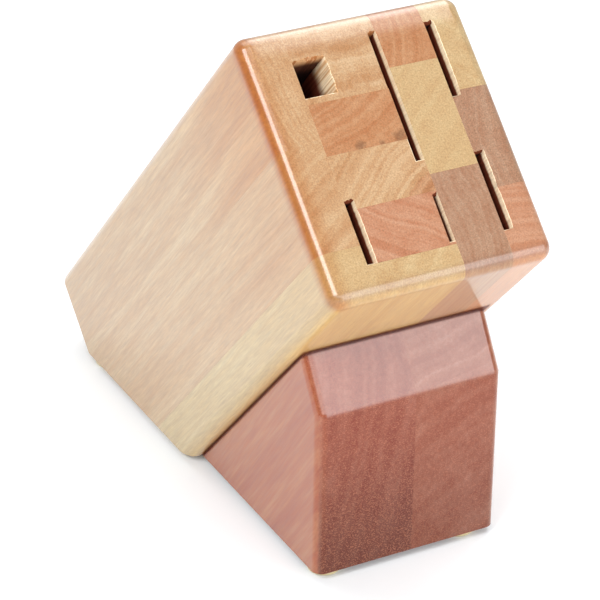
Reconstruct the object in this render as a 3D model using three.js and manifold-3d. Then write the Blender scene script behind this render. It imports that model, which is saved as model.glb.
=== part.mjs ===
// Slanted knife block of laminated hardwood on a darker wooden wedge, with four stick-on feet.
// Millimetres, +Z up. The slot face looks up and forward, towards -Y.

import * as THREE from "three";
import { RoundedBoxGeometry } from "three/addons/geometries/RoundedBoxGeometry.js";
import { mergeVertices } from "three/addons/utils/BufferGeometryUtils.js";
import Module from "manifold-3d";

// The block, measured square to its own faces
const BLOCK_W = 86; // across the boards
const FACE_H = 100; // up the slot face
const BLOCK_L = 229.5; // from the slot face to the back face
const EDGE_R = 5; // round-over on the block's edges
const LEAN = THREE.MathUtils.degToRad(47); // the long axis above the table
const FACE_EDGE_Z = 123.2; // the slot face's lower edge above the table, before rounding
const GLUE_LINE = 0.1; // thickness of every glue joint

// The wedge that carries the block
const BASE_W = 73.4;
const BASE_SEAM_X = 1.7; // the joint between its two staves
const BASE_TOP_RUN = 49; // from the slot face down the underside to the wedge
const BASE_FRONT_INSET = 21.1; // its front face behind the slot face's lower edge
const BASE_FRONT_TOP_Z = 67.6; // where the front face meets the chamfer
const BASE_EDGE_R = 4;

// The feet
const FOOT_R = 6;
const FOOT_H = 3;
const FOOT_EDGE_R = 1;
const FRONT_FEET_X = [-29.5, 25.5]; // pressed on by hand, so not quite even
const FRONT_FEET_INSET = 8; // centres behind the wedge's front face
const REAR_FEET_X = [-36, 36]; // under the outer boards, clear of the grooves' lower ends
const REAR_FEET_INSET = 12; // centres before the block's rear lower edge

const ROUND_STEPS = 6; // facets in a quarter round
const FOOT_FACETS = 48;
const BEYOND = 20; // how far a cutting solid runs past what it cuts
const CUT_SIZE = 500;

// Four boards stand side by side. Each is glued up from staves that run the block's full length.
// Board edges are distances from the block's centre; stave joints are heights up the slot face.
const BOARDS = [
  { name: "left_board", x: [-BLOCK_W / 2, -26.5], joints: [56.3, 18.7] },
  { name: "wide_board", x: [-26.5, 7.6], joints: [70.2, 51.2, 31.2, 11.5] },
  { name: "narrow_board", x: [7.6, 26.4], joints: [77.3, 37.3] },
  { name: "right_board", x: [26.4, BLOCK_W / 2], joints: [64.3, 27.5] },
];

// Grooves ploughed in a board's side before the boards are glued together
const GROOVES = [
  { use: "sharpening_steel", board: "wide_board", side: "left", wide: 12.3, height: [72.7, 86.2] },
  { use: "utility_knife", board: "wide_board", side: "left", wide: 3.6, height: [11.7, 34.4] },
  { use: "chef_knife", board: "wide_board", side: "right", wide: 3.2, height: [42.9, 91.2] },
  { use: "paring_knife", board: "wide_board", side: "right", wide: 2.1, height: [12.7, 29.9] },
  { use: "carving_knife", board: "right_board", side: "left", wide: 3.6, height: [62.5, 90.4] },
  { use: "boning_knife", board: "right_board", side: "left", wide: 3.7, height: [12.2, 41.2] },
];

// Colour of each stave's wood, top stave first
const STAVE_COLOURS = {
  left_board: [0xe2b88c, 0xddad80, 0xe4ba84],
  wide_board: [0xd8ae89, 0xd3956a, 0xe0b485, 0xd39d79, 0xe3bc8a],
  narrow_board: [0xd49f7a, 0xe1bc8c, 0xc5997c],
  right_board: [0xe2bf96, 0xbd9479, 0xdca67d],
};
const BASE_COLOURS = { left: 0xa26556, right: 0xa76e60 };
const FOOT_COLOUR = 0xe8ddb8;

// Steps along Y and Z, in the row's frame, of one step back along the block's long axis
// and of one step up the slot face
const BACK = new THREE.Vector2(Math.cos(LEAN), -Math.sin(LEAN));
const UP_FACE = new THREE.Vector2(Math.sin(LEAN), Math.cos(LEAN));

// The slot face's lower edge, placed so that the object is centred front to back
const FACE_EDGE = new THREE.Vector2(
  -(FACE_H * UP_FACE.x + BLOCK_L * BACK.x) / 2,
  FACE_EDGE_Z,
);
const BASE_FRONT_Y = FACE_EDGE.x + BASE_FRONT_INSET;

const wasm = await Module();
wasm.setup();

function toSolid(geometry) {
  const bare = geometry.clone();
  bare.deleteAttribute("normal");
  bare.deleteAttribute("uv");
  const welded = mergeVertices(bare, 1e-4);
  return new wasm.Manifold(
    new wasm.Mesh({
      numProp: 3,
      vertProperties: new Float32Array(welded.attributes.position.array),
      triVerts: new Uint32Array(welded.index.array),
    }),
  );
}

function toGeometry(solid) {
  const mesh = solid.getMesh();
  const geometry = new THREE.BufferGeometry();
  geometry.setAttribute("position", new THREE.BufferAttribute(mesh.vertProperties, 3));
  geometry.setIndex(new THREE.BufferAttribute(mesh.triVerts, 1));
  const faceted = geometry.toNonIndexed();
  faceted.computeVertexNormals();
  return faceted;
}

function named(name, geometry, colour, roughness) {
  const material = new THREE.MeshStandardMaterial({ color: colour, roughness, metalness: 0 });
  const mesh = new THREE.Mesh(geometry, material);
  mesh.name = name;
  return mesh;
}

// A box between two limits on each axis
function boxBetween([x0, x1], [y0, y1], [z0, z1]) {
  const box = new THREE.BoxGeometry(x1 - x0, y1 - y0, z1 - z0);
  box.translate((x0 + x1) / 2, (y0 + y1) / 2, (z0 + z1) / 2);
  return box;
}

// The block's own frame: X across the boards, Y up the slot face, Z out of the slot face.
const block = new THREE.Group();
block.name = "block";
block.position.set(0, FACE_EDGE.x, FACE_EDGE.y);
block.rotation.x = Math.PI / 2 - LEAN;
block.updateMatrixWorld();

// The glued-up block with its round-overs, sawn flat where it stands over the table
function blockSolid() {
  const blank = new RoundedBoxGeometry(BLOCK_W, FACE_H, BLOCK_L, ROUND_STEPS, EDGE_R);
  blank.translate(0, FACE_H / 2, -BLOCK_L / 2);
  const below = boxBetween([-CUT_SIZE, CUT_SIZE], [-CUT_SIZE, CUT_SIZE], [-CUT_SIZE, FOOT_H]);
  below.applyMatrix4(block.matrixWorld.clone().invert());
  return toSolid(blank).subtract(toSolid(below));
}

// Each groove starts at its board's side and runs out at both ends of the board
function grooveSolid({ board, side, wide, height }) {
  const [left, right] = BOARDS.find(({ name }) => name === board).x;
  const x = side === "left" ? [left - GLUE_LINE, left + wide] : [right - wide, right + GLUE_LINE];
  return toSolid(boxBetween(x, height, [-BLOCK_L - BEYOND, BEYOND]));
}

// The space one stave fills, half a glue joint clear of each neighbour
function staveCell([left, right], low, high) {
  const half = GLUE_LINE / 2;
  const outer = BLOCK_W / 2;
  const x = [
    left > -outer ? left + half : left - BEYOND,
    right < outer ? right - half : right + BEYOND,
  ];
  const y = [low > 0 ? low + half : -BEYOND, high < FACE_H ? high - half : FACE_H + BEYOND];
  return toSolid(boxBetween(x, y, [-BLOCK_L - BEYOND, BEYOND]));
}

function addStaves() {
  const whole = blockSolid();
  for (const { name, x, joints } of BOARDS) {
    let board = whole;
    for (const groove of GROOVES.filter((g) => g.board === name)) {
      board = board.subtract(grooveSolid(groove));
    }
    const heights = [FACE_H, ...joints, 0];
    joints.concat(0).forEach((low, i) => {
      const stave = board.intersect(staveCell(x, low, heights[i]));
      block.add(named(`${name}_stave_${i + 1}`, toGeometry(stave), STAVE_COLOURS[name][i], 0.45));
    });
  }
}

// The wedge from the side: flat on the feet, upright at the front, then chamfered back to the
// block's underside, which it fits with one glue joint between
function wedgeProfile() {
  const onUnderside = (run) =>
    FACE_EDGE.clone().addScaledVector(BACK, run).addScaledVector(UP_FACE, -GLUE_LINE);
  const toTheFeet = (FACE_EDGE.y - GLUE_LINE * UP_FACE.y - FOOT_H) / Math.sin(LEAN);
  return {
    rearFoot: onUnderside(toTheFeet),
    chamferTop: onUnderside(BASE_TOP_RUN),
    chamferFoot: new THREE.Vector2(BASE_FRONT_Y, BASE_FRONT_TOP_Z),
    frontFoot: new THREE.Vector2(BASE_FRONT_Y, FOOT_H),
  };
}

// A post with its two front edges rounded. Its front face passes through the origin and looks
// towards -Y; it reaches far up, down and back.
function roundedPost() {
  const half = BASE_W / 2;
  const plan = new THREE.Shape();
  plan.moveTo(-half, CUT_SIZE);
  plan.lineTo(-half, BASE_EDGE_R);
  plan.absarc(-half + BASE_EDGE_R, BASE_EDGE_R, BASE_EDGE_R, Math.PI, 1.5 * Math.PI, false);
  plan.lineTo(half - BASE_EDGE_R, 0);
  plan.absarc(half - BASE_EDGE_R, BASE_EDGE_R, BASE_EDGE_R, 1.5 * Math.PI, 2 * Math.PI, false);
  plan.lineTo(half, CUT_SIZE);
  const post = new THREE.ExtrudeGeometry(plan, {
    depth: 2 * CUT_SIZE,
    bevelEnabled: false,
    curveSegments: ROUND_STEPS,
  });
  post.translate(0, 0, -CUT_SIZE);
  return post;
}

function wedgeSolid() {
  const { rearFoot, chamferTop, chamferFoot, frontFoot } = wedgeProfile();
  const side = new THREE.Shape([rearFoot, chamferTop, chamferFoot, frontFoot]);
  const slab = new THREE.ExtrudeGeometry(side, { depth: BLOCK_W, bevelEnabled: false });
  // the profile's X and Y become the row's Y and Z
  slab.applyMatrix4(new THREE.Matrix4().set(0, 0, 1, 0, 1, 0, 0, 0, 0, 1, 0, 0, 0, 0, 0, 1));
  slab.translate(-BLOCK_W / 2, 0, 0);

  const frontPost = roundedPost();
  frontPost.translate(0, chamferFoot.x, 0);

  const chamfer = chamferTop.clone().sub(chamferFoot);
  const chamferPost = roundedPost();
  chamferPost.rotateX(-Math.atan2(chamfer.x, chamfer.y));
  chamferPost.translate(0, chamferFoot.x, chamferFoot.y);

  return toSolid(slab).intersect(toSolid(frontPost)).intersect(toSolid(chamferPost));
}

function makeBase() {
  const base = new THREE.Group();
  base.name = "base";
  const wedge = wedgeSolid();
  const half = GLUE_LINE / 2;
  const all = [-CUT_SIZE, CUT_SIZE];
  const leftCell = toSolid(boxBetween([-CUT_SIZE, BASE_SEAM_X - half], all, all));
  const rightCell = toSolid(boxBetween([BASE_SEAM_X + half, CUT_SIZE], all, all));
  base.add(named("base_left_stave", toGeometry(wedge.intersect(leftCell)), BASE_COLOURS.left, 0.4));
  base.add(named("base_right_stave", toGeometry(wedge.intersect(rightCell)), BASE_COLOURS.right, 0.4));
  return base;
}

// A low round pad with its lower rim rounded and one glue joint above it
function footGeometry() {
  const top = FOOT_H - GLUE_LINE;
  const profile = [new THREE.Vector2(0, 0)];
  for (let i = 0; i <= ROUND_STEPS; i += 1) {
    const turn = ((i / ROUND_STEPS) * Math.PI) / 2;
    profile.push(
      new THREE.Vector2(
        FOOT_R - FOOT_EDGE_R + FOOT_EDGE_R * Math.sin(turn),
        FOOT_EDGE_R - FOOT_EDGE_R * Math.cos(turn),
      ),
    );
  }
  profile.push(new THREE.Vector2(FOOT_R, top), new THREE.Vector2(0, top));
  const foot = new THREE.LatheGeometry(profile, FOOT_FACETS);
  foot.rotateX(Math.PI / 2); // the lathe turns about Y; the foot stands along Z
  return foot;
}

function makeFeet() {
  const feet = new THREE.Group();
  feet.name = "feet";
  const frontY = BASE_FRONT_Y + FRONT_FEET_INSET;
  const backTop = FACE_EDGE.clone().addScaledVector(BACK, BLOCK_L).addScaledVector(UP_FACE, FACE_H);
  const downBack = (backTop.y - FOOT_H) / UP_FACE.y; // length of the back face
  const rearY = backTop.x - downBack * UP_FACE.x - REAR_FEET_INSET;
  const places = {
    foot_front_left: [FRONT_FEET_X[0], frontY],
    foot_front_right: [FRONT_FEET_X[1], frontY],
    foot_rear_left: [REAR_FEET_X[0], rearY],
    foot_rear_right: [REAR_FEET_X[1], rearY],
  };
  for (const [name, [x, y]] of Object.entries(places)) {
    const foot = named(name, footGeometry(), FOOT_COLOUR, 0.5);
    foot.position.set(x, y, 0);
    feet.add(foot);
  }
  return feet;
}

addStaves();
const group = new THREE.Group();
group.name = "knife_block";
group.add(block, makeBase(), makeFeet());

export default group;
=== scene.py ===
import math
import random
from dataclasses import dataclass, replace

import bmesh
import bpy
from mathutils import Matrix, Vector


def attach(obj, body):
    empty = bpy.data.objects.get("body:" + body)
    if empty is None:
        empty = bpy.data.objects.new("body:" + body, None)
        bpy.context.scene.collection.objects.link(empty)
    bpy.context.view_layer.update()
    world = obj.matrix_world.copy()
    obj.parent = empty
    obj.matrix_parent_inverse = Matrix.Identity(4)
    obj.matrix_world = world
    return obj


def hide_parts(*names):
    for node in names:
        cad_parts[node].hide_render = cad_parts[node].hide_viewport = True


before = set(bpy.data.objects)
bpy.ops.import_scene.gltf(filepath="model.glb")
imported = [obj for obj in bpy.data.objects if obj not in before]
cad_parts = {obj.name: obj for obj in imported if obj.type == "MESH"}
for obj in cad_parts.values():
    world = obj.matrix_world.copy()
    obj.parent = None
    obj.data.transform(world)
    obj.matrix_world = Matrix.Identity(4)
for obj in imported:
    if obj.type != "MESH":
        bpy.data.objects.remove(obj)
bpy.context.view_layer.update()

# Metres unless a name says otherwise. The row's frame: +Z up, the slot face looks towards -Y.
MM = 0.001

# The block, as the CAD lays it out
LEAN = math.radians(47)  # the long axis above the table
FACE_H = 100 * MM  # up the slot face
BLOCK_W = 86 * MM  # across the boards
BLOCK_L = 229.5 * MM  # from the slot face to the back face
FACE_EDGE_Z = 123.2 * MM  # the slot face's lower edge above the table
GLUE_LINE = 0.1 * MM
UP_FACE = Vector((0, math.sin(LEAN), math.cos(LEAN)))
OUT_OF_FACE = Vector((0, -math.cos(LEAN), math.sin(LEAN)))
FACE_EDGE = Vector((0, (-UP_FACE.y * FACE_H + OUT_OF_FACE.y * BLOCK_L) / 2, FACE_EDGE_Z))

# The block's own frame in millimetres: X across the boards, Y up the slot face and Z out of it,
# from the middle of the slot face's lower edge
TO_BLOCK = (
    Matrix.Diagonal((1 / MM, 1 / MM, 1 / MM, 1))
    @ Matrix.Rotation(LEAN - math.pi / 2, 4, "X")
    @ Matrix.Translation(-FACE_EDGE)
)
HALF_W_MM = BLOCK_W / MM / 2
FACE_H_MM = FACE_H / MM
EDGE_R_MM = 5
BASE_SEAM = 1.7 * MM  # across, between the wedge's two staves
CHAMFER_FOOT_Z = 67.6 * MM  # where the wedge's front meets its chamfer

WEDGE_HALF_W_MM = 36.7
WEDGE_TOP_MM = 49  # from the slot face back to the wedge's top edge, along the underside

# The wedge's grain runs up to the front, a little steeper than the block
WEDGE_GRAIN = math.radians(52)

# The woods' middle tones, as sRGB codes. Each is the average, rounded to a multiple of 4, of the
# tones that made its kind of stave match the photograph.
STRAW = 0xA88C64
HONEY = 0xA4805C
CHERRY = 0x9C6C48
ROSE = 0xA07054
UMBER = 0x906C54
BRICK = 0x783824
CLARET = 0x844C38
RAW_CREAM = 0xF4E4C4  # unvarnished
STAIN_TONE = 0x8C8078
FLECK_TONE = 0xB07054
PORE_COLOUR = (0.16, 0.06, 0.025, 1)

# Camera
CAMERA_AT = Vector((-0.45379, -0.85396, 0.59186))
CAMERA_YAW = math.radians(28.28)
CAMERA_DOWN = math.radians(28.85)
CAMERA_ROLL = math.radians(0.74)
CAMERA_LENS = 177.7  # mm, on a 36 mm sensor


# ---------------------------------------------------------------- shader building


class Graph:
    """A material's node tree, built by short calls. Sockets are passed straight to inputs."""

    def __init__(self, name):
        self.material = bpy.data.materials.new(name)
        self.material.use_nodes = True
        self.tree = self.material.node_tree
        self.tree.nodes.clear()

    def node(self, kind, inputs=None, **settings):
        made = self.tree.nodes.new(kind)
        for key, value in settings.items():
            setattr(made, key, value)
        for key, value in (inputs or {}).items():
            self.feed(made.inputs[key], value)
        return made

    def feed(self, socket, value):
        if isinstance(value, bpy.types.NodeSocket):
            self.tree.links.new(value, socket)
        else:
            socket.default_value = value

    def math(self, operation, a, b=0.0, c=0.0):
        return self.node("ShaderNodeMath", {0: a, 1: b, 2: c}, operation=operation).outputs[0]

    def vector(self, operation, a, b=(0.0, 0.0, 0.0)):
        made = self.node("ShaderNodeVectorMath", {0: a, 1: b}, operation=operation)
        return made.outputs["Value"] if operation in ("DOT_PRODUCT", "LENGTH") else made.outputs[0]

    def scaled(self, a, factor):
        return self.node(
            "ShaderNodeVectorMath", {0: a, "Scale": factor}, operation="SCALE"
        ).outputs[0]

    def parts(self, a):
        return self.node("ShaderNodeSeparateXYZ", {0: a}).outputs

    def range(self, value, low, high, to_low=0.0, to_high=1.0, smooth=True):
        """value from low..high to to_low..to_high, held at both ends"""
        kind = "SMOOTHSTEP" if smooth else "LINEAR"
        made = self.node(
            "ShaderNodeMapRange",
            {"Value": value, "From Min": low, "From Max": high, "To Min": to_low, "To Max": to_high},
            interpolation_type=kind,
        )
        return made.outputs["Result"]

    def mix(self, factor, a, b, blend="MIX"):
        made = self.node("ShaderNodeMix", data_type="RGBA", blend_type=blend)
        self.feed(made.inputs[0], factor)
        self.feed(made.inputs[6], a)
        self.feed(made.inputs[7], b)
        return made.outputs[2]

    def swing(self, value, amount):
        """A 0..1 noise turned into a shift about zero"""
        return self.math("MULTIPLY", self.math("SUBTRACT", value, 0.5), amount)

    def stretch(self, point, across, along):
        """point in millimetres, divided by a feature's size across and along the grain"""
        scale = (1 / across, 1 / across, 1 / along)
        return self.vector("MULTIPLY", point, scale)

    def noise(self, point, detail=2.0, roughness=0.5, seed=0.0, colour=False):
        made = self.node(
            "ShaderNodeTexNoise",
            {"Vector": point, "W": seed, "Scale": 1.0, "Detail": detail, "Roughness": roughness},
            noise_dimensions="4D",
        )
        return made.outputs["Color" if colour else 0]

    def line_noise(self, value, detail=2.0, roughness=0.5):
        return self.node(
            "ShaderNodeTexNoise",
            {"W": value, "Scale": 1.0, "Detail": detail, "Roughness": roughness},
            noise_dimensions="1D",
        ).outputs[0]

    def ramp(self, value, stops, interpolation="LINEAR"):
        """Colours, or heights, met as value passes each stop"""
        made = self.node("ShaderNodeValToRGB", {0: value})
        made.color_ramp.interpolation = interpolation
        elements = made.color_ramp.elements
        while len(elements) < len(stops):
            elements.new(0.5)
        for element, (position, colour) in zip(elements, stops):
            element.position = position
            element.color = colour if isinstance(colour, tuple) else (colour,) * 3 + (1,)
        return made.outputs[0]

    def finish(self, shader):
        out = self.node("ShaderNodeOutputMaterial")
        self.tree.links.new(shader.outputs[0], out.inputs[0])
        return self.material


def rgb(code):
    """A linear colour from an sRGB hex code"""
    parts = [((code >> shift) & 255) / 255 for shift in (16, 8, 0)]
    linear = [p / 12.92 if p <= 0.04045 else ((p + 0.055) / 1.055) ** 2.4 for p in parts]
    return (*linear, 1.0)


def grain_space(graph, angle):
    """The surface point in millimetres, turned so that Z runs along the grain"""
    place = graph.node("ShaderNodeTexCoord").outputs["Object"]
    shifted = graph.vector("SUBTRACT", place, tuple(FACE_EDGE))
    turned = graph.node(
        "ShaderNodeVectorRotate",
        {"Vector": shifted, "Axis": (1, 0, 0), "Angle": -(math.pi / 2 - angle)},
        rotation_type="AXIS_ANGLE",
    ).outputs[0]
    return graph.vector("MULTIPLY", turned, (1 / MM,) * 3)


@dataclass(frozen=True)
class Looks:
    """How one stave's wood looks. Lengths are in millimetres, colours are linear factors."""

    tone: int  # the wood's middle colour, an sRGB code
    spread: float  # how far its light and dark streaks are from that
    pith: tuple  # the pith line's place across the grain
    ring: float  # a growth ring's width
    seed: float = 0.0
    bands: float = 1.0  # strength of the broad bands of growth
    lines: float = 0.3  # and of the thin late-wood lines
    blotch: float = 0.6
    wander: float = 3.0  # how far rings stray from circles
    speck: float = 0.38
    streak: float = 0.28  # on the long grain
    rays: float = 0.0
    heart: tuple = ()  # the heartwood's radius and colour
    stains: tuple = ()  # spots on the end grain, each (x, y, size)
    flecks: float = 0.0  # pale dashes
    # paler flanks: partly the long grain's own colour, partly painted light and sheen
    side_grain_and_light: tuple = (1.17, 1.29, 1.36)
    # painted light on faces that look down
    underside_light: tuple = (1.4, 1.33, 0.98)
    foot: float = 0.0  # darker towards the table
    burn: float = 0.0  # finish soaked into the left round-over
    warmth: float = 0.4  # and a warmer tint behind it on the flanks, fading towards the back
    lower_edge_dark: float = 0.45  # darker along the slot face's lower edge
    shade_in_corner: float = 0.0  # painted shade in the corner above the wedge
    coat_ior: float = 1.5
    rubbed: float = 0.0  # how much varnish upright faces have lost
    scored: float = 0.2  # the plough's streaks, on groove walls
    groove_shade_depths: tuple = (1.9, 3.2)  # depths where a groove's painted shade starts and is full
    hanging_wall_shade: tuple = (0.14, 0.035, 0.02)  # painted shade on groove walls that look down


def shades(tone, spread):
    """A tone's light, middle and dark: streaks differ least in red"""
    parts = [(tone >> shift) & 255 for shift in (16, 8, 0)]
    steps = [spread * step for step in (8, 13, 14)]
    return [
        sum(round(part + sign * step) << shift
            for part, step, shift in zip(parts, steps, (16, 8, 0)))
        for sign in (1, 0, -1)
    ]


class Wood(Graph):
    """Hardwood cut from growth rings about a pith line that runs along the grain"""

    def __init__(self, name, looks, lean=LEAN):
        super().__init__(name)
        self.looks = looks
        self.point = grain_space(self, lean)
        self.normal = self.node("ShaderNodeNewGeometry").outputs["Normal"]
        along = (0.0, -math.cos(lean), math.sin(lean))
        ends = self.math("ABSOLUTE", self.vector("DOT_PRODUCT", self.normal, along))
        self.end_grain = self.math("MULTIPLY", ends, ends)
        across, _, _ = self.parts(self.normal)
        self.flank = self.math("MULTIPLY", across, across)
        self.below = self.vector("DOT_PRODUCT", self.normal, tuple(-UP_FACE))
        self.contact_shade = 0.0

    def grains(self, across, along, seed, **settings):
        """Noise with a feature's size across and along the grain"""
        point = self.stretch(self.point, across, along)
        return self.noise(point, seed=self.looks.seed + seed, **settings)

    def tint(self, factor, colour, shade):
        return self.mix(factor, colour, (*shade, 1), "MULTIPLY")

    def place_rings(self):
        """Distance from the pith, pushed about by slow and quick noise, counted in rings"""
        looks = self.looks
        slow = self.grains(24, 260, 0, detail=1.0, colour=True)
        slow = self.vector("MULTIPLY", self.vector("SUBTRACT", slow, (0.5, 0.5, 0.5)),
                           (3 * looks.wander, 3 * looks.wander, 0))
        from_pith = self.vector(
            "SUBTRACT", self.vector("ADD", self.point, slow), (*looks.pith, 0)
        )
        self.flat = self.vector("MULTIPLY", from_pith, (1, 1, 0))
        self.radius = self.vector("LENGTH", self.flat)
        self.quick = self.grains(2.5, 90, 3, detail=2.0)
        jitter = self.grains(0.8, 30, 5, detail=2.0)
        pushed = self.math("ADD", self.swing(self.quick, 1.2), self.swing(jitter, 1.8))
        return self.math("DIVIDE", self.math("ADD", self.radius, pushed), looks.ring)

    def figure(self):
        """Bands of growth, late-wood lines, blotches, streaks and rays, as one colour"""
        looks, end_grain = self.looks, self.end_grain
        turns = self.place_rings()
        grown = self.line_noise(
            self.math("MULTIPLY_ADD", turns, 0.9, looks.seed), detail=4.0, roughness=0.6
        )
        late = self.ramp(self.math("FRACT", turns),
                         ((0, 0.4), (0.3, 0.1), (0.7, 0.5), (0.9, 0.9), (1.0, 0.4)), "B_SPLINE")
        strength = self.line_noise(
            self.math("MULTIPLY_ADD", turns, 0.31, looks.seed + 50), detail=1.0
        )
        late = self.math("MULTIPLY", late, self.range(strength, 0.35, 0.65, 0.2, 1.0))
        late = self.math("MULTIPLY", late, self.range(end_grain, 0.0, 1.0, 0.35, 1.0))
        patches = self.grains(7, 120, 7, detail=3.0)
        tone = self.math("ADD", self.swing(grown, 1.5 * looks.bands),
                         self.swing(patches, 1.6 * looks.blotch))
        tone = self.math("ADD", tone, self.swing(late, -0.7 * looks.lines))
        tone = self.math("MULTIPLY", tone, self.range(end_grain, 0.0, 1.0, 0.6, 1.0))

        self.stripe = self.grains(2.2, 200, 9, detail=3.0, roughness=0.6)
        size = self.range(end_grain, 0.0, 0.8, looks.streak, 0.15 * looks.streak)
        drift = self.grains(9, 70, 15, detail=3.0, roughness=0.55)
        for noise, amount in ((drift, 2.0), (self.stripe, 1.6)):
            tone = self.math("ADD", tone, self.math("MULTIPLY", self.swing(noise, amount), size))
        if looks.rays:
            tone = self.math("ADD", tone, self.ray_marks())
        mottle = self.grains(1.6, 24, 13, detail=2.0, roughness=0.6)
        tone = self.math("ADD", tone, self.math("ADD", self.swing(mottle, 0.9), 0.45))
        light, middle, dark = (rgb(code) for code in shades(looks.tone, looks.spread))
        return self.ramp(tone, ((0.1, dark), (0.5, middle), (0.9, light)))

    def ray_marks(self):
        fx, fy, _ = self.parts(self.flat)
        turn = self.math("MULTIPLY", self.math("ARCTAN2", fy, fx),
                         math.hypot(*self.looks.pith) / 0.7)
        spot = self.node(
            "ShaderNodeCombineXYZ", {0: turn, 1: self.math("DIVIDE", self.radius, 9.0)}
        )
        ray = self.noise(spot.outputs[0], detail=1.0, seed=self.looks.seed + 23)
        return self.math("MULTIPLY", self.range(ray, 0.5, 0.75, 0.0, self.looks.rays),
                         self.end_grain)

    def heartwood(self, colour):
        size, shade = self.looks.heart
        lobes = self.grains(4.5, 200, 33, detail=2.0)
        wavy = self.math("ADD", self.radius, self.swing(lobes, 5.0))
        return self.tint(self.range(wavy, size - 0.5, size + 0.5, 1.0, 0.0), colour, shade)

    def stain(self, colour, x, y, size):
        place = self.vector("MULTIPLY", self.vector("SUBTRACT", self.point, (x, y, 0)),
                            (1 / size, 1.3 / size, 0.02))
        near = self.math("ADD", self.vector("LENGTH", place), self.swing(self.quick, 1.4))
        return self.mix(
            self.range(near, 0.3, 1.2, 0.5, 0.0), colour, rgb(STAIN_TONE), "MULTIPLY"
        )

    def painted_corner_shade(self, colour):
        """Painted shade in the corner between the block's underside and the wedge's top"""
        x, _, z = self.parts(self.point)
        near = self.range(z, -WEDGE_TOP_MM + 0.4, -WEDGE_TOP_MM + 3.5, self.looks.shade_in_corner, 0.0)
        corner = self.math("MULTIPLY", self.range(self.below, 0.5, 0.9), near)
        beyond = self.range(self.math("ABSOLUTE", x), WEDGE_HALF_W_MM + 0.1,
                            WEDGE_HALF_W_MM + 1.6, 1.0, 0.0)
        self.contact_shade = self.math("MULTIPLY", corner, beyond)
        return self.tint(self.contact_shade, colour, (0.25, 0.1, 0.06))

    def darker_foot(self, colour):
        """Darker towards the table, and painted shade in a line right under the block"""
        place = self.node("ShaderNodeTexCoord").outputs["Object"]
        _, _, height = self.parts(place)
        lower = self.range(height, 0.0, CHAMFER_FOOT_Z, self.looks.foot, 0.0)
        faces_out = self.range(self.flank, 0.3, 0.7, 1.0, 0.0)
        colour = self.scaled(
            colour, self.math("SUBTRACT", 1.0, self.math("MULTIPLY", lower, faces_out))
        )
        # painted shade in a line right under the block, where it meets the wedge
        under = self.vector("SUBTRACT", place, tuple(FACE_EDGE))
        under = self.vector("DOT_PRODUCT", under, tuple(UP_FACE))
        self.contact_shade = self.range(under, -1.4 * MM, -0.5 * MM)
        return self.tint(self.contact_shade, colour, (0.3, 0.14, 0.1))

    def flecked(self, colour):
        """Short dashes, on faces that cut the grain at a slant"""
        dash = self.noise(self.vector("MULTIPLY", self.point, (1 / 0.6, 1 / 0.2, 1 / 0.6)),
                          detail=1.5, seed=self.looks.seed + 29)
        slanted = self.math("MULTIPLY", self.range(self.end_grain, 0.05, 0.35),
                            self.range(self.end_grain, 0.5, 0.9, 1.0, 0.3))
        dash = self.range(dash, 0.5, 0.64, 0.0, self.looks.flecks)
        return self.mix(self.math("MULTIPLY", dash, slanted), colour, rgb(FLECK_TONE))

    def groove_wall(self, colour):
        """The plough has left dark streaks near the mouth. Painted shade darkens the rest, the walls
        that face +X and the walls that look down
        """
        looks = self.looks
        x_out, _, _ = self.parts(self.normal)
        _, _, z = self.parts(self.point)
        scores = self.range(self.stripe, 0.48, 0.56, 0.0, looks.scored)
        colour = self.tint(scores, colour, (0.62, 0.4, 0.24))
        clean, deep = looks.groove_shade_depths
        # painted shade deeper in the groove
        colour = self.tint(self.range(z, -deep, -clean, 1.0, 0.0), colour, (0.2, 0.05, 0.03))
        # painted shade on walls that face +X, away from the light
        colour = self.tint(self.range(x_out, 0.3, 0.7), colour, (0.4, 0.22, 0.14))
        # painted shade on walls that look down
        hangs = self.range(self.below, 0.3, 0.7)
        colour = self.tint(hangs, colour, looks.hanging_wall_shade)
        # and more painted shade on them further in
        deep_hanging_shade = self.math("MULTIPLY", hangs, self.range(z, -6.0, -1.2, 1.0, 0.0))
        return self.tint(deep_hanging_shade, colour, (0.12, 0.06, 0.05))

    def soaked_edges(self, colour):
        """The slot face's lower edge is darker, and more finish soaks into its left round-over"""
        looks = self.looks
        x, t, z = self.parts(self.point)
        # darker along the lower round-over
        soak = self.math("MULTIPLY", self.range(t, 3.4, 5.6, looks.lower_edge_dark, 0.0),
                         self.range(z, -7.0, -3.5, 0.0, 1.0))
        colour = self.tint(soak, colour, (0.62, 0.52, 0.5))
        if not looks.burn:
            return colour
        inward = self.math("ADD", x, HALF_W_MM)
        back = self.math("MULTIPLY", z, -1.0)
        soaked = self.math("MULTIPLY", self.range(inward, 3.0, 9.0, 1.0, 0.0),
                           self.range(back, 3.0, 9.0, 1.0, 0.0))
        depth = self.range(back, 0.2, 2.5, 0.5 * looks.burn, looks.burn)
        colour = self.tint(self.math("MULTIPLY", soaked, depth), colour, (0.8, 0.46, 0.17))
        warm = self.range(back, 2.0, 95.0, looks.warmth * looks.burn, 0.0)
        return self.tint(self.math("MULTIPLY", warm, self.flank), colour, (0.92, 0.66, 0.42))

    def colour(self, varnished):
        looks = self.looks
        colour = self.figure()
        if looks.heart:
            colour = self.heartwood(colour)
        for spot in looks.stains:
            colour = self.stain(colour, *spot)
        # painted light: the boards' flat sides come out paler and duller than their ends and edges,
        # partly from the long grain's own colour and partly for light and sheen falling on them;
        # faces that look down are lightened for light from below
        colour = self.tint(self.flank, colour, looks.side_grain_and_light)
        colour = self.tint(self.range(self.below, 0.5, 1.0), colour, looks.underside_light)
        if looks.shade_in_corner:
            colour = self.painted_corner_shade(colour)
        if looks.foot:
            colour = self.darker_foot(colour)
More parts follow.
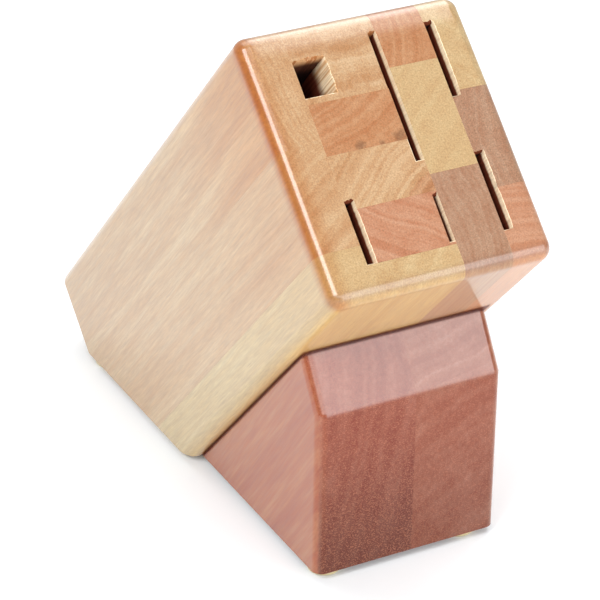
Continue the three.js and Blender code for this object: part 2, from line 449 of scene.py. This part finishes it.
        # fibres: specks on the end grain, short dashes elsewhere
        self.fine = self.grains(0.6, 9, 11, detail=3.0, roughness=0.7)
        size = self.range(self.end_grain, 0.0, 1.0, 2.2 * looks.speck, 4 * looks.speck)
        colour = self.scaled(
            colour, self.math("MULTIPLY_ADD", self.swing(self.fine, 1.0), size, 1.0)
        )
        if looks.flecks:
            colour = self.flecked(colour)
        if not varnished:
            colour = self.groove_wall(colour)
        self.pores = self.range(self.grains(0.35, 6, 19, detail=1.0), 0.68, 0.78)
        colour = self.mix(self.math("MULTIPLY", self.pores, 0.25), colour, PORE_COLOUR)
        return self.soaked_edges(colour)

    def build(self, varnished):
        looks = self.looks
        colour = self.colour(varnished)
        bumps = self.math("SUBTRACT", self.math("MULTIPLY", self.fine, 0.5),
                          self.math("MULTIPLY", self.pores, 0.8))
        inputs = {"Base Color": colour, "Specular IOR Level": 0.25}
        if varnished:
            strength, distance = 0.1, 0.1 * MM
            _, _, upward = self.parts(self.normal)
            coat = self.range(self.math("MAXIMUM", upward, self.flank), 0.1, 0.5,
                              1.0 - looks.rubbed, 1.0)
            # the coat thins where the painted contact shade lies
            coat = self.math("MULTIPLY", coat, self.math("SUBTRACT", 1.0, self.contact_shade))
            inputs |= {"Coat Weight": coat, "Coat Roughness": 0.16, "Coat IOR": looks.coat_ior}
            inputs["Roughness"] = self.range(self.fine, 0.3, 0.7, 0.4, 0.55, smooth=False)
        else:
            strength, distance = 0.5, 0.2 * MM
            inputs["Roughness"] = 0.8
        bump = self.node(
            "ShaderNodeBump", {"Height": bumps, "Strength": strength, "Distance": distance}
        )
        inputs["Normal"] = bump.outputs[0]
        return self.finish(self.node("ShaderNodeBsdfPrincipled", inputs))


def wood(name, looks, lean=LEAN, varnished=True):
    return Wood(name, looks, lean).build(varnished)


# ---------------------------------------------------------------- pieces


def close_seams(body):
    """Moves the faces that meet other staves out over half the glue line"""
    half = 0.45 * GLUE_LINE / MM
    for axis, outer_low, outer_high in ((0, -HALF_W_MM, HALF_W_MM), (1, 0, FACE_H_MM)):
        low = min(v.co[axis] for v in body.verts)
        high = max(v.co[axis] for v in body.verts)
        for vert in body.verts:
            if abs(vert.co[axis] - low) < 0.02 and low > outer_low + 1:
                vert.co[axis] = low - half
            if abs(vert.co[axis] - high) < 0.02 and high < outer_high - 1:
                vert.co[axis] = high + half


def is_groove_wall(face):
    """Whether a board's face is a groove's wall or a joint, which stay unvarnished"""
    x, y, _ = face.calc_center_median()
    outside = abs(x) > HALF_W_MM - 0.5 or not 0.5 < y < FACE_H_MM - 0.5
    in_corner = abs(x) > HALF_W_MM - EDGE_R_MM and not EDGE_R_MM < y < FACE_H_MM - EDGE_R_MM
    return abs(face.normal.z) < 0.1 and not outside and not in_corner


def cut(body, faces, place, normal):
    """Splits the faces by a plane and gives the faces they became"""
    edges = {edge for face in faces for edge in face.edges}
    verts = {vert for face in faces for vert in face.verts}
    done = bmesh.ops.bisect_plane(
        body, geom=[*faces, *edges, *verts], plane_co=place, plane_no=normal, dist=1e-4
    )
    return [item for item in done["geom"] if isinstance(item, bmesh.types.BMFace)]


def plane_faces(body, axis, level, sign):
    """The faces on one plane square to an axis that look along the axis's sign"""
    return [
        face for face in body.faces
        if face.normal[axis] * sign > 0.99 and abs(face.calc_center_median()[axis] - level) < 0.02
    ]


# Grooves, with the board whose side each is ploughed in: x limits and height up the slot face
GROOVES = {
    "steel": ("wide_board", (-26.5, -14.2), (72.7, 86.2)),
    "utility": ("wide_board", (-26.5, -22.9), (11.7, 34.4)),
    "chef": ("wide_board", (4.4, 7.6), (42.9, 91.2)),
    "paring": ("wide_board", (5.5, 7.6), (12.7, 29.9)),
    "carving": ("right_board", (26.4, 30.0), (62.5, 90.4)),
    "boning": ("right_board", (26.4, 30.1), (12.2, 41.2)),
}
TEAR_DEPTH = 1.6  # mm behind the slot face


def plough_marks(body, level, heights, gap, depth, rng):
    """Shallow ridges along a groove's inner wall, which looks towards -X"""
    faces = plane_faces(body, 0, level, -1)
    height = heights[0] + gap * rng.uniform(0.3, 0.8)
    marks = []
    while faces and height < heights[1] - 0.3 * gap:
        faces = cut(body, faces, (level, height, 0), (0, 1, 0))
        marks.append(height)
        height += gap * rng.uniform(0.6, 1.4)
    for i, mark in enumerate(marks):
        shift = depth * rng.uniform(0.5, 1.0) * (1 if i % 2 else -0.3)
        for vert in body.verts:
            if abs(vert.co.x - level) < 0.02 and abs(vert.co.y - mark) < 0.01:
                vert.co.x += shift


def torn_end(body, limits, level, rng):
    """Chips out of the slot face above a groove's upper end"""
    faces = plane_faces(body, 1, level, -1)
    if not faces:
        return
    low, high = limits
    count = max(4, round((high - low) / 0.55))
    faces = cut(body, faces, (0, level, -TEAR_DEPTH), (0, 0, 1))
    for i in range(1, count):
        faces = cut(body, faces, (low + (high - low) * i / count, level, 0), (1, 0, 0))
    chip = 0.0
    for vert in sorted(body.verts, key=lambda v: v.co.x):
        if abs(vert.co.z) < 0.01 and abs(vert.co.y - level) < 0.01 and low - 0.2 < vert.co.x < high:
            chip = 0.5 * chip + rng.uniform(0.0, 0.7)
            vert.co.y += chip


def soften_rims(body):
    """A small worn bevel where groove walls meet the slot face"""
    rims = []
    for edge in body.edges:
        on_face = all(abs(vert.co.z) < 0.01 for vert in edge.verts)
        if on_face and len(edge.link_faces) == 2 and edge.calc_length() > 1.0:
            walls = [face for face in edge.link_faces if abs(face.normal.z) < 0.2]
            if len(walls) == 1 and is_rim(walls[0], body):
                rims.append(edge)
    if rims:
        bmesh.ops.bevel(body, geom=rims, offset=0.26, segments=2, profile=0.5, affect="EDGES")


def crown(body):
    """Sanding has let the slot face fall away a little before its top round-over"""
    start, end, bend = FACE_H_MM - 14, FACE_H_MM - EDGE_R_MM, 0.008
    for step in range(10):
        faces = plane_faces(body, 2, 0, 1)
        if faces:
            cut(body, faces, (0, start + (end - start) * step / 9, 0), (0, 1, 0))
    for vert in body.verts:
        if vert.co.y > start and vert.co.z > -BLOCK_L / MM / 2:
            run = min(vert.co.y, end) - start
            vert.co.z -= bend * run * run + 2 * bend * run * max(0, vert.co.y - end)


def is_rim(wall, body):
    """Whether a wall bounds a groove and isn't a joint with the next stave"""
    x, y, _ = wall.calc_center_median()
    lows = [min(v.co[axis] for v in body.verts) for axis in (0, 1)]
    highs = [max(v.co[axis] for v in body.verts) for axis in (0, 1)]
    inside = all(low + 0.05 < at < high - 0.05 for at, low, high in zip((x, y), lows, highs))
    return inside and is_groove_wall(wall)


def is_worn_mouth(face):
    """Whether a board's face is bare wood at a groove's mouth: its bevel or a chip above it"""
    centre = face.calc_center_median()
    inside = abs(centre.x) < HALF_W_MM - EDGE_R_MM and EDGE_R_MM < centre.y < FACE_H_MM - EDGE_R_MM
    bevel = centre.z > -0.5 and 0.1 < face.normal.z < 0.95
    chip = centre.z > -TEAR_DEPTH - 0.1 and face.normal.y < -0.5
    return inside and (bevel or chip)


def shape_stave(body, node, rng):
    """What the CAD leaves out of one stave: closed seams, plough marks, chips and worn rims"""
    bmesh.ops.transform(body, matrix=TO_BLOCK, verts=body.verts)
    close_seams(body)
    for name, (board, limits, heights) in GROOVES.items():
        if not node.startswith(board):
            continue
        if limits[1] > 10 or limits[0] < -20:
            gap, depth = (2.3, 0.35) if name == "steel" else (1.6, 0.12)
            plough_marks(body, limits[1], heights, gap, depth, rng)
        torn_end(body, limits, heights[1], rng)
    soften_rims(body)
    crown(body)
    for face in body.faces:
        face.material_index = 1 if is_groove_wall(face) or is_worn_mouth(face) else 0
    bmesh.ops.transform(body, matrix=TO_BLOCK.inverted(), verts=body.verts)


def shape_wedge(body, node, rng):
    """What the CAD leaves out of one wedge stave: its closed seam and rubbed chamfer edge"""
    for vert in body.verts:
        if abs(vert.co.x - BASE_SEAM) < GLUE_LINE:
            vert.co.x = BASE_SEAM + math.copysign(0.05 * GLUE_LINE, vert.co.x - BASE_SEAM)
    rubbed = [
        edge for edge in body.edges
        if len(edge.link_faces) == 2 and edge.calc_face_angle(0) > math.radians(20)
        and all(abs(vert.co.z - CHAMFER_FOOT_Z) < 3 * MM for vert in edge.verts)
        and any(abs(vert.co.x - BASE_SEAM) > GLUE_LINE for vert in edge.verts)
    ]
    bmesh.ops.bevel(
        body, geom=rubbed, offset=1.4 * MM, segments=4, profile=0.5, affect="EDGES",
        clamp_overlap=True,
    )


def refined(node, shape=None):
    """A smooth-shaded copy of a CAD node, which it stands for"""
    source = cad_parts[node]
    mesh = source.data.copy()
    mesh.materials.clear()
    body = bmesh.new()
    body.from_mesh(mesh)
    bmesh.ops.remove_doubles(body, verts=body.verts, dist=0.002 * MM)
    bmesh.ops.dissolve_limit(
        body, angle_limit=math.radians(0.4), verts=body.verts, edges=body.edges
    )
    if shape:
        shape(body, node, random.Random(node))
    sharp = math.radians(25)
    for face in body.faces:
        face.smooth = True
    for edge in body.edges:
        edge.smooth = len(edge.link_faces) == 2 and edge.calc_face_angle(0) < sharp
    body.to_mesh(mesh)
    body.free()
    piece = bpy.data.objects.new("seen_" + node, mesh)
    bpy.context.scene.collection.objects.link(piece)
    weigh = piece.modifiers.new("flat faces stay flat", "WEIGHTED_NORMAL")
    weigh.mode = "FACE_AREA"
    weigh.keep_sharp = True
    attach(piece, "root")
    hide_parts(node)
    return piece


STAVES = {
    "left_board_stave_1": Looks(HONEY, 1.1, pith=(80, 100), ring=1.6, bands=0.9, lines=0.5,
                                seed=1, burn=1.0, warmth=0.9),
    "left_board_stave_2": Looks(HONEY, 0.9, pith=(0, -20), ring=4, seed=2, burn=1.0),
    "left_board_stave_3": Looks(STRAW, 0.7, pith=(0, -60), ring=4, bands=0.6, lines=0.1,
                                seed=3, burn=0.8),
    "wide_board_stave_1": Looks(HONEY, 1.4, pith=(-10, 160), ring=6, rays=0.2, wander=5,
                                blotch=0.7, seed=4),
    "wide_board_stave_2": Looks(CHERRY, 0.9, pith=(-50, 150), ring=1.8, lines=0.4, seed=5,
                                stains=((-13.4, 52.4, 2.4), (2.2, 53.0, 3.2), (-5, 51.6, 1.5))),
    "wide_board_stave_3": Looks(HONEY, 1.1, pith=(29, -11), ring=4.2, bands=1.6, lines=0.8,
                                wander=2.2, seed=6, heart=(53.8, (0.88, 0.74, 0.7))),
    "wide_board_stave_4": Looks(ROSE, 0.9, pith=(40, 90), ring=3.2, bands=1.3, lines=0.4,
                                seed=7),
    "wide_board_stave_5": Looks(STRAW, 1.0, pith=(60, -60), ring=5, bands=0.7, lines=0.1,
                                seed=8),
    "narrow_board_stave_1": Looks(CHERRY, 1.2, pith=(-80, 110), ring=2, lines=0.2, bands=0.8,
                                  seed=9),
    "narrow_board_stave_2": Looks(STRAW, 0.6, pith=(90, -30), ring=4, bands=0.6, lines=0.15,
                                  seed=10),
    "narrow_board_stave_3": Looks(UMBER, 1.0, pith=(-70, 20), ring=1.5, lines=0.35, bands=0.8,
                                  seed=11),
    "right_board_stave_1": Looks(STRAW, 1.0, pith=(90, 130), ring=4, bands=0.6, lines=0.1,
                                 seed=12),
    "right_board_stave_2": Looks(UMBER, 1.0, pith=(90, 40), ring=3, lines=0.2, speck=0.5,
                                 seed=13),
    "right_board_stave_3": Looks(ROSE, 0.8, pith=(30, -60), ring=3, bands=1.2, lines=0.9,
                                 wander=1.5, seed=14),
}
# painted light on groove walls that face sideways, where the light falls on them
RAW_SIDE_LIGHT = (1.12, 1.12, 1.12)


def pale(tone, share=0.8):
    """A tone before varnish: part of the way to cream"""
    parts = [
        round((1 - share) * ((tone >> shift) & 255) + share * ((RAW_CREAM >> shift) & 255)) << shift
        for shift in (16, 8, 0)
    ]
    return sum(parts)


def raw_looks(node, looks):
    """The same stave's groove walls, planed and unvarnished"""
    raw = replace(
        looks, tone=pale(looks.tone), spread=0.2 * looks.spread, side_grain_and_light=RAW_SIDE_LIGHT, stains=(),
        burn=0.0,
    )
    if node == "wide_board_stave_1":
        # the steel's hole gets its painted shade only further in
        raw = replace(raw, scored=0.9, groove_shade_depths=(8, 14), hanging_wall_shade=(0.5, 0.36, 0.34))
    return raw


def make_block():
    for node, looks in STAVES.items():
        piece = refined(node, shape_stave)
        piece.data.materials.append(wood("wood_" + node, replace(looks, shade_in_corner=0.95)))
        raw = wood("raw_" + node, raw_looks(node, looks), varnished=False)
        piece.data.materials.append(raw)


def wedge_looks(tone, **settings):
    return Looks(
        # its flanks get painted sheen and light
        tone, spread=1.4, bands=0.9, side_grain_and_light=(1.7, 2.08, 1.27), underside_light=(1, 1, 1),
        coat_ior=1.6, streak=0.25, rubbed=0.7, lower_edge_dark=0.0, speck=0.22, **settings,
    )


WEDGE = {
    "base_left_stave": wedge_looks(BRICK, pith=(-140, 10), ring=6, lines=0.2, flecks=0.42,
                                   foot=0.5, seed=21),
    "base_right_stave": wedge_looks(CLARET, pith=(52, -154), ring=4.5, lines=-0.7, flecks=0.32,
                                    foot=0.3, seed=22),
}


def make_wedge():
    for node, looks in WEDGE.items():
        piece = refined(node, shape_wedge)
        piece.data.materials.append(wood("wood_" + node, looks, lean=WEDGE_GRAIN))


def foot_material():
    g = Graph("cream_rubber")
    place = g.node("ShaderNodeTexCoord").outputs["Object"]
    point = g.vector("MULTIPLY", place, (1 / MM,) * 3)
    mottle = g.noise(g.stretch(point, 0.8, 0.8), detail=3.0, seed=31)
    colour = g.mix(mottle, rgb(0xC8BC96), rgb(0xB4A57A))
    bump = g.node("ShaderNodeBump", {"Height": mottle, "Strength": 0.1, "Distance": 0.05 * MM})
    shader = g.node(
        "ShaderNodeBsdfPrincipled",
        {"Base Color": colour, "Roughness": 0.45, "Normal": bump.outputs[0]},
    )
    return g.finish(shader)


def make_feet():
    material = foot_material()
    for corner in ("front_left", "front_right", "rear_left", "rear_right"):
        piece = refined("foot_" + corner)
        piece.data.materials.append(material)


# ---------------------------------------------------------------- studio


def make_floor():
    bpy.ops.mesh.primitive_plane_add(size=14, location=(0, 3, 0))
    floor = bpy.context.object
    floor.name = "floor"
    g = Graph("pale_floor")
    shader = g.node("ShaderNodeBsdfPrincipled", {
        "Base Color": (0.785, 0.81, 0.83, 1), "Roughness": 0.9,
        "Emission Color": (1, 1, 1, 1), "Emission Strength": 0.05,
    })
    floor.data.materials.append(g.finish(shader))


def softbox(name, at, size, power, upper=None, aim=Vector((0, 0, 0.09))):
    """A softbox of a width and a height. Its height runs towards upper, a place above it."""
    lamp = bpy.data.lights.new(name, "AREA")
    lamp.shape = "RECTANGLE"
    lamp.size, lamp.size_y = size
    lamp.energy = power
    light = bpy.data.objects.new(name, lamp)
    bpy.context.scene.collection.objects.link(light)
    away = (at - aim).normalized()
    side = (upper - at if upper else Vector((0, 0, 1))).cross(away).normalized()
    turn = Matrix((side, away.cross(side), away)).transposed().to_4x4()
    light.matrix_world = Matrix.Translation(at) @ turn


def make_lights():
    """A tent that is bright behind and dim on the camera's side, and five softboxes"""
    world = bpy.data.worlds.new("white_tent")
    world.use_nodes = True
    tree = world.node_tree
    place = tree.nodes.new("ShaderNodeTexCoord")
    split = tree.nodes.new("ShaderNodeSeparateXYZ")
    fade = tree.nodes.new("ShaderNodeMapRange")
    fade.interpolation_type = "SMOOTHSTEP"
    for key, value in {"From Min": 0.0, "From Max": 0.8, "To Min": 0.2, "To Max": 0.8}.items():
        fade.inputs[key].default_value = value
    background = tree.nodes["Background"]
    background.inputs["Color"].default_value = (1, 1, 1, 1)
    tree.links.new(place.outputs["Generated"], split.inputs[0])
    tree.links.new(split.outputs["Y"], fade.inputs["Value"])
    tree.links.new(fade.outputs[0], background.inputs["Strength"])
    bpy.context.scene.world = world
    softbox("left_box", bearing(-62, 43, 1.7), (0.8, 0.76), 22, bearing(-54, 47, 1.7))
    softbox("front_box", bearing(24, 17, 1.6), (1.5, 1.05), 21)
    softbox("fill_box", bearing(-24, 28, 1.6), (1.1, 0.45), 5)
    softbox("top_box", bearing(120, 56, 1.6), (0.4, 1.8), 9, bearing(55, 60, 1.6))
    softbox("back_box", bearing(165, 65, 2.2), (2.0, 1.5), 24)


def bearing(turn, height, distance):
    """A place round the object: turn 0 is in front, 90 at its right; height is above the table"""
    turn, height = math.radians(turn), math.radians(height)
    level = math.cos(height) * distance
    return Vector((math.sin(turn) * level, -math.cos(turn) * level, math.sin(height) * distance))


def make_camera():
    data = bpy.data.cameras.new("camera")
    data.lens = CAMERA_LENS
    data.sensor_width = 36
    camera = bpy.data.objects.new("camera", data)
    bpy.context.scene.collection.objects.link(camera)
    forward = Vector((
        math.sin(CAMERA_YAW) * math.cos(CAMERA_DOWN),
        math.cos(CAMERA_YAW) * math.cos(CAMERA_DOWN),
        -math.sin(CAMERA_DOWN),
    ))
    level = forward.cross(Vector((0, 0, 1))).normalized()
    upright = level.cross(forward)
    right = math.cos(CAMERA_ROLL) * level + math.sin(CAMERA_ROLL) * upright
    up = math.cos(CAMERA_ROLL) * upright - math.sin(CAMERA_ROLL) * level
    turn = Matrix((right, up, -forward)).transposed().to_4x4()
    camera.matrix_world = Matrix.Translation(CAMERA_AT) @ turn
    bpy.context.scene.camera = camera


bpy.context.scene.view_settings.view_transform = "Standard"
make_camera()
make_block()
make_wedge()
make_feet()
make_floor()
make_lights()
